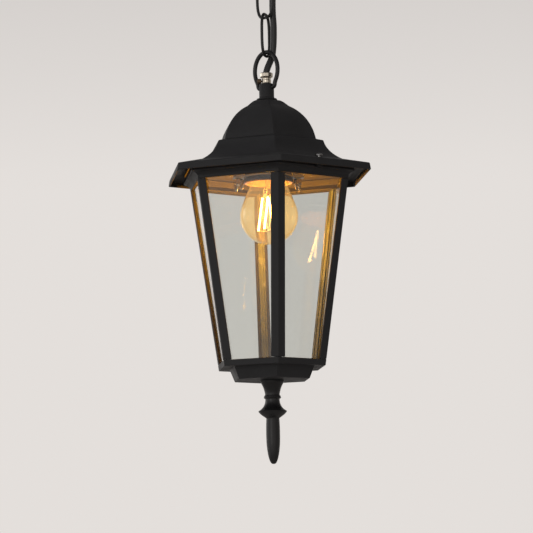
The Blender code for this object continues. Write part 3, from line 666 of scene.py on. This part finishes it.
LOOP_CENTRE = 222.45
LOOP_RADIUS = 12.0
LOOP_STEPS = 56
LOOP_WIRE = 2.25
LINK_WIRE = 1.55
LINK_HALF_WIDTH = 11.15
LINK_HALF_LENGTH = 22.15
LINK_STEPS = 64
LINK_SQUARENESS = 2 / 3    # 1 gives a plain ellipse, and less a squarer link
UPPER_LINK_TURN, LOWER_LINK_TURN = -50.8, 63.4
BAIL_WIRE = 2.25
BAIL_HALF_WIDTH = 15.1
BAIL_HALF_HEIGHT = 19.45
BAIL_CENTRE = 114.0
BAIL_PIVOT = 95.5
LOWER_LINK = BAIL_CENTRE + BAIL_HALF_HEIGHT - (BAIL_WIRE + LINK_WIRE + GAP) + LINK_HALF_LENGTH
UPPER_LINK = LOWER_LINK + 2 * LINK_HALF_LENGTH - (2 * LINK_WIRE + GAP)
ROSE_TOP = CEILING - GAP
ROSE_BOTTOM = 240.0
STUD_REACH = 22.0


def link_line(centre, direction):
    """The centre line of a chain link, longer than wide, with softly squared ends."""
    found = []
    for i in range(LINK_STEPS):
        t = 2 * math.pi * i / LINK_STEPS
        side = math.copysign(abs(math.cos(t)) ** LINK_SQUARENESS, math.cos(t)) * LINK_HALF_WIDTH
        rise = math.copysign(abs(math.sin(t)) ** LINK_SQUARENESS, math.sin(t)) * LINK_HALF_LENGTH
        found.append(point(direction.x * side, direction.y * side, centre + rise))
    return found


def chain():
    links = (("upper", UPPER_LINK, UPPER_LINK_TURN), ("lower", LOWER_LINK, LOWER_LINK_TURN))
    for which, centre, turn in links:
        line = link_line(centre, heading(turn))
        mesh = tube_mesh(f"link_{which}", line, LINK_WIRE * MM, 16, loop=True)
        keep(f"link_{which}", mesh, "gloss", f"{which}_link", f"chain_link_{which}")
    foot = [
        (5.7, BAIL_PIVOT, 0), (8.0, BAIL_PIVOT, 0), (9.7, 96.0, 0), (10.8, 97.6, 0), (11.2, 100.0, 0),
        (12.37, 102.84, 0),
    ]
    half = [(p.x, p.y) for p in smooth_route(foot, 4)]
    bow = arc_points((0.0, BAIL_CENTRE), (BAIL_HALF_WIDTH, BAIL_HALF_HEIGHT), -33, 90, 30)
    half += bow
    whole = half + [(-s, h) for s, h in reversed(half[:-1])]
    line = [point(ALONG.x * s, ALONG.y * s, h) for s, h in whole]
    keep("bail_wire", tube_mesh("bail_wire", line, BAIL_WIRE * MM, 20), "gloss", "bail", "bail_ring")


def ceiling_fitting():
    body = "ceiling_fitting"
    outer = [(5.3, ROSE_BOTTOM), (16.0, ROSE_BOTTOM)]
    outer += curve_points((16.0, ROSE_BOTTOM), (44.0, ROSE_BOTTOM + 2), (48.5, ROSE_TOP - 6), 20)[1:]
    outer += [(49.2, ROSE_TOP - 5.4), (50.0, ROSE_TOP - 4.6), (50.0, ROSE_TOP)]
    inner = [(48.7, ROSE_TOP), (48.7, ROSE_TOP - 4.2)]
    inner += curve_points((47.1, ROSE_TOP - 5.0), (43.0, ROSE_BOTTOM + 3.6), (16.0, ROSE_BOTTOM + 1.3), 14)
    inner += [(5.3, ROSE_BOTTOM + 1.3)]
    mesh = turned_mesh("rose_cup", outer + inner, 96, closed=True)
    keep("rose_cup", mesh, "coat", body, "ceiling_rose", bevel=0.3)
    ring = [
        point(ACROSS.x * LOOP_RADIUS * math.cos(t), ACROSS.y * LOOP_RADIUS * math.cos(t),
              LOOP_CENTRE + LOOP_RADIUS * math.sin(t))
        for t in (2 * math.pi * i / LOOP_STEPS for i in range(LOOP_STEPS))
    ]
    stem = [(0, 256.0), (4.6, 256.0), (5.0, 255.5), (5.0, ROSE_BOTTOM - GAP), (6.6, ROSE_BOTTOM - GAP)]
    stem += [(7.0, ROSE_BOTTOM - 0.8), (7.0, 236.4), (5.6, 235.0), (3.2, 233.6), (0, 233.4)]
    eye = merged("loop_eye", [
        tube_mesh("ring", ring, LOOP_WIRE * MM, 20, loop=True), turned_mesh("stem", stem, 40),
    ])
    keep("loop_eye", eye, "gloss", body, "hanging_loop")
    for number, turn in ((1, 0.0), (2, 180.0)):
        spot = heading(-45.0 + turn) * STUD_REACH
        top = ROSE_BOTTOM - GAP
        profile = [(0, top), (4.3, top), (4.6, top - 0.3), (4.6, top - 1.2), (4.0, top - 1.6)]
        profile += arc_points((0, top - 4), (4.0, 4.0), 0, -90, 12)[:-1] + [(0, top - 8)]
        mesh = turned_mesh(f"cap_nut_{number}", profile, 40, at=(spot.x, spot.y))
        keep(f"cap_nut_{number}", mesh, "gloss", body, f"rose_cap_nut_{number}")
        refined(f"rose_stud_{number}", "zinc")
    for node, look in (
        ("ceiling_crossbar", "zinc"), ("loop_lock_nut", "zinc"), ("rose_cord_bush", "flex"),
        ("terminal_block", "plastic"), ("earth_screw", "brass"),
    ):
        refined(node, look, 0.25)


# ---------------------------------------------------------------- roof, hub and grip

SCREW_REACH = 87.0
SCREW_FACES = (30.0, 210.0)
EAVE_TOP = (113.7, 7.2)
EAVE_RIM = (115.0, 0.0)
BRIM_START = (84.0, 13.6)
LEDGE = (62.9, 34.8)
SKIRT_PULL = (66.5, 22.0)
DOME_CENTRE, DOME_RADII = (0.0, 27.9), (55.5, 52.0)
DOME_TOP = (20.5, 77.9)
CROWN_TOP = 82.1
HUB_TOP = 99.5
GRIP_BORE = 3.9


def face_out(angle):
    """Unit vector at an angle from the front corner, which is towards -Y."""
    return heading(angle - 90.0)


def brim_height(reach):
    """Height of the brim's upper side at a distance from the axis, at the middle of a face."""
    edge, start = EAVE_TOP[0] * FLAT, BRIM_START[0] * FLAT
    return EAVE_TOP[1] + (edge - reach) / (edge - start) * (BRIM_START[1] - EAVE_TOP[1])


def roof():
    """The dome, skirt and brim: finely rounded outside, and inset by the wall inside."""
    seat = [(6.2, CROWN_TOP), (11.5, 81.8)]
    outer = seat + curve_points(seat[1], (17.0, 81.0), DOME_TOP, 4)[1:]
    outer += arc_points(DOME_CENTRE, DOME_RADII, 63, 10, 26)
    outer += curve_points(LEDGE, SKIRT_PULL, BRIM_START, 18) + [EAVE_TOP, EAVE_RIM]
    coarse = seat + [DOME_TOP] + arc_points(DOME_CENTRE, DOME_RADII, 63, 10, 10)
    coarse += curve_points(LEDGE, SKIRT_PULL, BRIM_START, 8) + [EAVE_TOP, EAVE_RIM]
    inner = inset(coarse, WALL)
    inner[-1] = (inner[-1][0], EAVE_RIM[1])
    mesh = turned_mesh("roof_casting", outer + list(reversed(inner)), 6, closed=True, turn=30.0)
    keep("roof_casting", mesh, "coat", "lantern", "roof", bevel=0.9, segments=3)


def roof_screws():
    for number, angle in enumerate(SCREW_FACES, 1):
        spot = face_out(angle) * SCREW_REACH
        seat = brim_height(SCREW_REACH) + 1.1
        profile = [(0, seat + 1.5), (0.9, seat + 1.5), (0.9, seat + 2.35), (1.9, seat + 2.25)]
        profile += arc_points((1.9, seat + 0.7), (1.7, 1.55), 90, 0, 6)[1:] + [(3.6, seat)]
        profile += [(1.5, seat), (1.5, 0.2), (0, 0.2)]
        mesh = turned_mesh(f"screw_{number}", profile, 32, at=(spot.x, spot.y))
        keep(f"screw_{number}", mesh, "steel", "lantern", f"roof_screw_{number}")


def hub_and_grip():
    foot = CROWN_TOP + GAP
    outer = [(4.8, HUB_TOP), (6.9, HUB_TOP), (7.5, HUB_TOP - 0.3), (7.8, HUB_TOP - 0.9), (7.8, 85.8)]
    outer += curve_points((7.8, 85.8), (8.0, 83.9), (10.6, 83.6), 8)[1:] + [(10.8, 83.2), (10.8, foot)]
    bore = [(5.3, foot), (5.3, 88.0), (4.8, 88.0)]
    mesh = turned_mesh("hub_casting", outer + bore, 48, closed=True)
    keep("hub_casting", mesh, "coat", "lantern", "hub")
    band = [(GRIP_BORE, 106.0), (4.9, 105.8), (4.75, 105.2), (4.6, 104.6), (4.6, 103.8), (4.9, 103.4)]
    band += [(4.9, 100.7), (4.7, 100.3), (4.5, 99.9), (4.5, 90.0), (GRIP_BORE, 90.0)]
    collar = [(GRIP_BORE, 111.4), (5.9, 111.4), (6.9, 110.5), (6.9, 107.2), (6.3, 106.3), (5.0, 106.0)]
    collar += [(GRIP_BORE, 106.0)]
    nut = turned_mesh("grip_collar", collar, 12, closed=True, turn=9.0)
    neck = turned_mesh("grip_neck", band, 48, closed=True)
    keep("grip_nut", merged("grip_nut", [nut, neck]), "nickel", "lantern", "cord_grip", bevel=0.3)
    refined("grip_screw", "bronze", 0.3)
    refined("hub_tube", "zinc")
    refined("hub_lock_nut", "zinc", 0.3)


# ---------------------------------------------------------------- lampholder and bulb

WING_HEIGHT = -8.0
BULB_CENTRE = -39.5
NECK_TOP = 10.7
ROD_TOP, ROD_TOP_REACH, ROD_TOP_TURNS = -20.6, 6.2, (80.0, 170.0, 260.0, 350.0)
ROD_LOW, ROD_LOW_REACH, ROD_LOW_TURNS = -54.5, 12.0, (60.0, 150.0, 240.0, 330.0)
ROD_MIDDLE = -19.3         # where the filaments' wires meet


def wing_outline(side):
    """A petal-shaped wing that leans out from the nut's middle."""
    found = [(side * 2.4, 4.2)]
    found += [(side * (6.0 + 2.9 * math.cos(t)), 0.2 + 5.0 * math.sin(t))
              for t in (math.radians(a) for a in range(120, -61, -15))]
    return found + [(side * 4.6, -5.4), (side * 3.4, -4.4), (side * 2.4, -2.0)]


def lampholder():
    body = "lantern"
    outer = [(0, 42), (13, 42), (16.5, 40), (23, 30), (24, 28), (24, 1.8)]
    outer += [(20.7, 1.8), (20.7, -5.0), (20.4, -5.2)]
    cavity = [(19.9, -5.2), (18.9, 1.0), (16.6, 6.0), (15.4, 11.0), (15.4, 38.0), (0, 38.0)]
    mesh = turned_mesh("holder_body", outer + cavity, 64)
    keep("holder_body", mesh, "holder", body, "lampholder_body", bevel=0.25)
    ring = [(21.0, -0.3), (24.9, -0.3), (25.2, -0.6), (25.2, -4.4), (24.9, -5.0), (24.0, -5.6)]
    ring += [(22.4, -5.6), (21.6, -5.2), (21.0, -4.2)]
    mesh = turned_mesh("holder_ring", ring, 72, closed=True)
    keep("holder_ring", mesh, "holder", body, "lampholder_ring")
    for node, look in (
        ("screw_shell", "brass"), ("centre_contact", "brass"), ("holder_plate", "zinc"),
        ("hanger_strap", "zinc"), ("strap_stud_1", "zinc"), ("strap_stud_2", "zinc"),
        ("live_lead", "brown"), ("neutral_lead", "blue"),
    ):
        refined(node, look, 0.2 if node in ("holder_plate", "hanger_strap") else 0.0)
    for number, side in ((1, -1), (2, 1)):
        low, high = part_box(f"wing_nut_{number}")
        middle = Vector(((low[0] + high[0]) / 2, (low[1] + high[1]) / 2, metres(WING_HEIGHT)))
        plane = placed(middle, heading(65.0 * side), Vector((0, 0, 1)))
        wings = [prism_mesh("wing", wing_outline(lean), 1.3, plane) for lean in (-1, 1)]
        at = (middle.x / MM, middle.y / MM)
        boss = turned_mesh("boss", ring_profile(3.9, 2.3, -6.6, -0.6), 32, closed=True, at=at)
        mesh = merged("wing_nut", wings + [boss])
        keep(f"wing_nut_{number}_cast", mesh, "nickel", body, f"wing_nut_{number}", bevel=0.35)


def bulb_outline(radius, neck, steps):
    """The bulb's side from its neck down to its lowest point."""
    rise = math.radians(20.0)
    joint = (radius * math.cos(rise), BULB_CENTRE + radius * math.sin(rise))
    cone = curve_points((neck, NECK_TOP), (neck + 1.6, NECK_TOP - 9.0), joint, steps)
    ball = arc_points((0.0, BULB_CENTRE), (radius, radius), 20.0, -90, steps * 2)
    return cone[:-1] + ball[:-1] + [(0.0, BULB_CENTRE - radius)]


def bulb():
    outer, inner = bulb_outline(30.0, 13.1, 14), bulb_outline(29.2, 12.4, 14)
    mesh = turned_mesh("globe", list(reversed(inner)) + outer, 80)
    keep("globe", mesh, "bulb", "bulb", "bulb_glass")
    stem = [(0, 27.0), (8.4, 27.0), (9.2, 26.4), (9.6, 25.0)]
    stem += curve_points((9.6, 25.0), (5.2, 16.0), (4.4, 4.0), 8)[1:]
    stem += curve_points((4.4, 4.0), (2.4, -8.0), (2.2, -16.4), 6)[1:] + [(1.6, -17.2), (0, -17.6)]
    keep("glass_stem", turned_mesh("glass_stem", stem, 40), "stem", "bulb", "bulb_stem")
    cap = [(0, 33.4), (4.6, 33.4), (11.2, 31.5)]
    for turn in range(5):
        high = 28.5 - turn * 3.3
        cap += [(12.5, high + 0.9), (13.2, high - 0.4), (13.2, high - 1.2), (12.5, high - 2.3)]
    cap += [(13.2, 11.6), (13.2, 11.0), (12.4, 11.0), (11.9, 12.4), (11.9, 28.0), (0, 30.5)]
    keep("screw_cap", turned_mesh("screw_cap", cap, 48), "nickel", "bulb", "bulb_cap")
    refined("bulb_contact", "brass")
    rods, wires = [], [turned_mesh("hub", [(0, -18.0), (1.5, -18.2), (1.5, -20.4), (0, -20.6)], 20)]
    highs = [point(*(heading(turn) * ROD_TOP_REACH).xy, ROD_TOP) for turn in ROD_TOP_TURNS]
    lows = [point(*(heading(turn) * ROD_LOW_REACH).xy, ROD_LOW) for turn in ROD_LOW_TURNS]
    middle = point(0, 0, ROD_MIDDLE)
    for high, low in zip(highs, lows):
        line = [high.lerp(low, t) for t in (0.0, 0.01, 0.03, 0.25, 0.5, 0.75, 0.97, 0.99, 1.0)]
        rods.append(tube_mesh("rod", line, 1.05 * MM, 14))
        wires.append(tube_mesh("wire", [middle, high.lerp(middle, 0.5), high], 0.4 * MM, 8))
    for i in (0, 2):
        wires.append(tube_mesh("tie", [lows[i], lows[i].lerp(lows[i + 1], 0.5), lows[i + 1]], 0.35 * MM, 8))
    keep("glowing_rods", merged("glowing_rods", rods), "filament", "bulb", "bulb_filaments")
    keep("rod_wires", merged("rod_wires", wires), "nickel", "bulb")


# ---------------------------------------------------------------- cage

CAGE_TOP, CAGE_RADIUS, CAGE_TAPER = -3.9, 90.0, 0.1538
WINDOW_TOP, WINDOW_BOTTOM, CAGE_BOTTOM = -7.0, -192.0, -198.3
FLANGE = 8.5               # width of a post on each of its two faces
BEAD_TOP, BEAD_BOTTOM, BEAD_WIDTH, BEAD_DEPTH = -5.0, -195.8, 6.6, 0.6
RIB_HEIGHT, RIB_PITCH, RIB_STEPS = 0.9, 2.2, 30
MOULDING_LIP = (96.9, 0.2)
TRAY_TOP_RADIUS, TRAY_RADIUS, TRAY_BOTTOM = 47.5, 42.1, -210.7
STUD_BORE = 3.4


def cage_corner(height):
    """Corner radius of the cage's outer surface at a height."""
    return CAGE_RADIUS - CAGE_TAPER * (CAGE_TOP - height)


def swept_corner(name, outline, top, bottom, number):
    """An outline round a corner of the cage, as (outward, sideways), swept down its slope."""
    bm = bmesh.new()
    turn = Matrix.Rotation(math.radians(60 * number - 90), 4, "Z")
    ends = []
    for height in (top, bottom):
        reach = cage_corner(height)
        ends.append([
            bm.verts.new(turn @ Vector(((reach + x) * MM, y * MM, metres(height)))) for x, y in outline
        ])
    bm.faces.new(ends[0])
    bm.faces.new(ends[1])
    for i in range(len(outline)):
        j = (i + 1) % len(outline)
        bm.faces.new((ends[0][i], ends[0][j], ends[1][j], ends[1][i]))
    return finished(bm, name)


def on_face(run, depth):
    """A point this far along a face from the corner and this deep behind it."""
    half = math.radians(60)
    return (
        -run * math.cos(half) - depth * FLAT,
        run * math.sin(half) - depth * math.cos(half),
    )


def in_corner(depth):
    """The point where the two faces, taken this deep, meet."""
    return (-depth / FLAT, 0.0)


def mirrored(outline):
    """The same points on the other face, in reverse order."""
    return [(x, -y) for x, y in reversed(outline)]


def posts():
    """Angle posts, and behind the panes a ribbed glazing bead in each corner."""
    post = [on_face(FLANGE, 0.0), on_face(FLANGE, WALL)]
    outline = [(0.0, 0.0)] + post + [in_corner(WALL)] + mirrored(post)
    behind = WALL + GAP + WALL + GAP
    runs = [BEAD_WIDTH - BEAD_WIDTH * i / RIB_STEPS for i in range(RIB_STEPS)]
    ribs = [RIB_HEIGHT * abs(math.sin(math.pi * run / RIB_PITCH)) for run in runs]
    half = [on_face(BEAD_WIDTH, behind)]
    half += [on_face(run, behind + BEAD_DEPTH + rib) for run, rib in zip(runs, ribs)]
    bead = [in_corner(behind)] + half + [in_corner(behind + BEAD_DEPTH)] + mirrored(half)
    for number in range(6):
        mesh = swept_corner("post", outline, WINDOW_TOP - GAP, WINDOW_BOTTOM + GAP, number)
        node = f"cage_post_{number + 1}"
        keep(f"corner_post_{number + 1}", mesh, "coat", "cage", node, bevel=0.45, segments=3)
        mesh = swept_corner("bead", bead, BEAD_TOP, BEAD_BOTTOM, number)
        # The bead's colour is lighter than the black paint: painted lamplight.
        keep(f"glazing_bead_{number + 1}", mesh, "painted_lamplight", "cage", bevel=0.2)
        refined(f"glass_pane_{number + 1}", "pane")


def cage_ends():
    """The crown moulding with its upstand and screw bosses, and the bottom rail with its tray."""
    outer = [(94.6, 8.2), (95.8, 8.2), (96.2, 1.5), (97.6, 1.3)]
    outer += curve_points(MOULDING_LIP, (92.4, -0.6), (CAGE_RADIUS, CAGE_TOP), 6)
    outer += [(cage_corner(WINDOW_TOP), WINDOW_TOP)]
    inner = [(87.4, WINDOW_TOP), (87.9, -3.0), (94.2, 1.3)]
    ring = turned_mesh("crown_moulding", outer + inner, 6, closed=True, turn=30.0)
    boss = ring_profile(3.8, 1.8, -0.8, 6.2)
    spots = [face_out(angle) * SCREW_REACH for angle in SCREW_FACES]
    bosses = [turned_mesh("boss", boss, 24, closed=True, at=(spot.x, spot.y)) for spot in spots]
    mesh = merged("crown_moulding", [ring] + bosses)
    keep("crown_moulding", mesh, "coat", "cage", "cage_top_ring", bevel=0.35)

    outer = [(cage_corner(WINDOW_BOTTOM), WINDOW_BOTTOM), (cage_corner(CAGE_BOTTOM), CAGE_BOTTOM)]
    outer += [(TRAY_TOP_RADIUS, CAGE_BOTTOM), (TRAY_RADIUS, TRAY_BOTTOM), (STUD_BORE, TRAY_BOTTOM)]
    floor = TRAY_BOTTOM + WALL
    inner = [(STUD_BORE, floor), (TRAY_RADIUS - 1.3, floor), (TRAY_TOP_RADIUS - 1.5, CAGE_BOTTOM + WALL)]
    inner += [(58.3, CAGE_BOTTOM + WALL), (59.2, WINDOW_BOTTOM)]
    mesh = turned_mesh("bottom_tray", outer + inner, 6, closed=True, turn=30.0)
    keep("bottom_tray", mesh, "coat", "cage", "cage_base", bevel=0.5, segments=3)


def finial():
    profile = [(0, -219.3), (2.8, -219.3), (2.8, -211.0), (11.8, -211.0), (12.0, -211.2), (12.0, -213.0)]
    profile += curve_points((12.0, -213.0), (8.9, -217.4), (7.6, -224.6), 12)[1:]
    profile += [(7.6, -226.2), (8.6, -226.9)] + arc_points((7.7, -228.5), (1.2, 1.2), 50, -50, 6)
    profile += [(7.5, -229.9), (7.4, -230.5)]
    profile += curve_points((7.4, -230.5), (7.5, -238.5), (14.5, -242.4), 14)[1:]
    profile += [(14.7, -242.7), (14.6, -243.2)]
    profile += curve_points((14.6, -243.2), (12.9, -245.9), (7.4, -249.4), 8)[1:]
    profile += [(6.9, -249.9), (6.7, -250.4)]
    profile += curve_points((6.8, -251.0), (7.5, -264.0), (6.9, -277.0), 14)
    profile += curve_points((6.9, -277.0), (5.6, -293.0), (2.2, -296.4), 12)[1:]
    profile += [(1.1, -296.9), (0, -297.0)]
    keep("turned_drop", turned_mesh("turned_drop", profile, 72), "gloss", "cage", "finial")
    refined("finial_stud", "zinc")
    refined("finial_nut", "zinc", 0.3)


bpy.context.scene.view_settings.view_transform = "Standard"
camera()
make_looks()
flex()
room()
ceiling_fitting()
chain()
roof()
roof_screws()
hub_and_grip()
lampholder()
bulb()
posts()
cage_ends()
finial()
